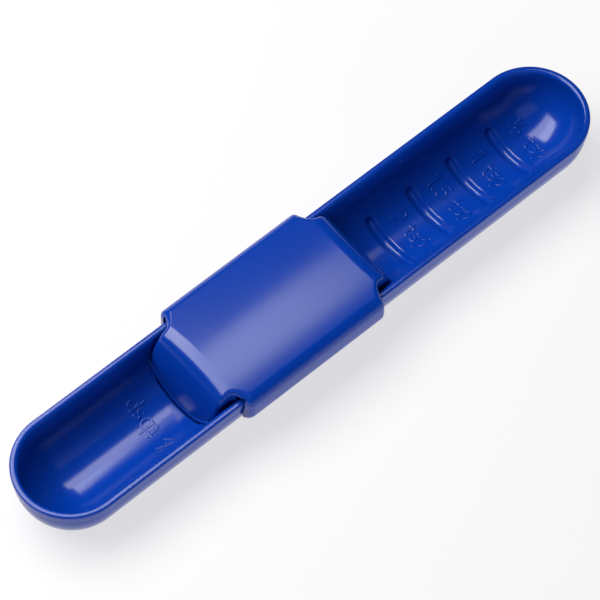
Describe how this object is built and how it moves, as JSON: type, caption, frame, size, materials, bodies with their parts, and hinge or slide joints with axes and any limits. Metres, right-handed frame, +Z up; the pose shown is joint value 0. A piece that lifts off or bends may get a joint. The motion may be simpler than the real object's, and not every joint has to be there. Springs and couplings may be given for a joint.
{
  "type": "adjustable measuring spoon",
  "caption": "Long double-ended measuring spoon with a half-round trough and a sliding saddle that closes off a measured bowl at each end.",
  "frame": {"origin": "centre of the flat base strip, midway between the two round ends, on the surface the spoon rests on", "axes": "+X along the spoon to the teaspoon end, +Z up out of the bowls, +Y across the spoon"},
  "size_m": [0.158, 0.0306, 0.0172],
  "materials": {
    "spoon_plastic": "smooth royal blue moulded plastic, semi-gloss",
    "slider_plastic": "royal blue moulded plastic with a fine satin top"
  },
  "bodies": {
    "spoon": {"spoon_body": "spoon_plastic"},
    "saddle": {"slider": "slider_plastic"}
  },
  "joints": [
    {"name": "saddle_slide", "type": "slide", "parent": "spoon", "child": "saddle", "axis": [1, 0, 0], "range_m": [-0.028, 0.0475]}
  ]
}
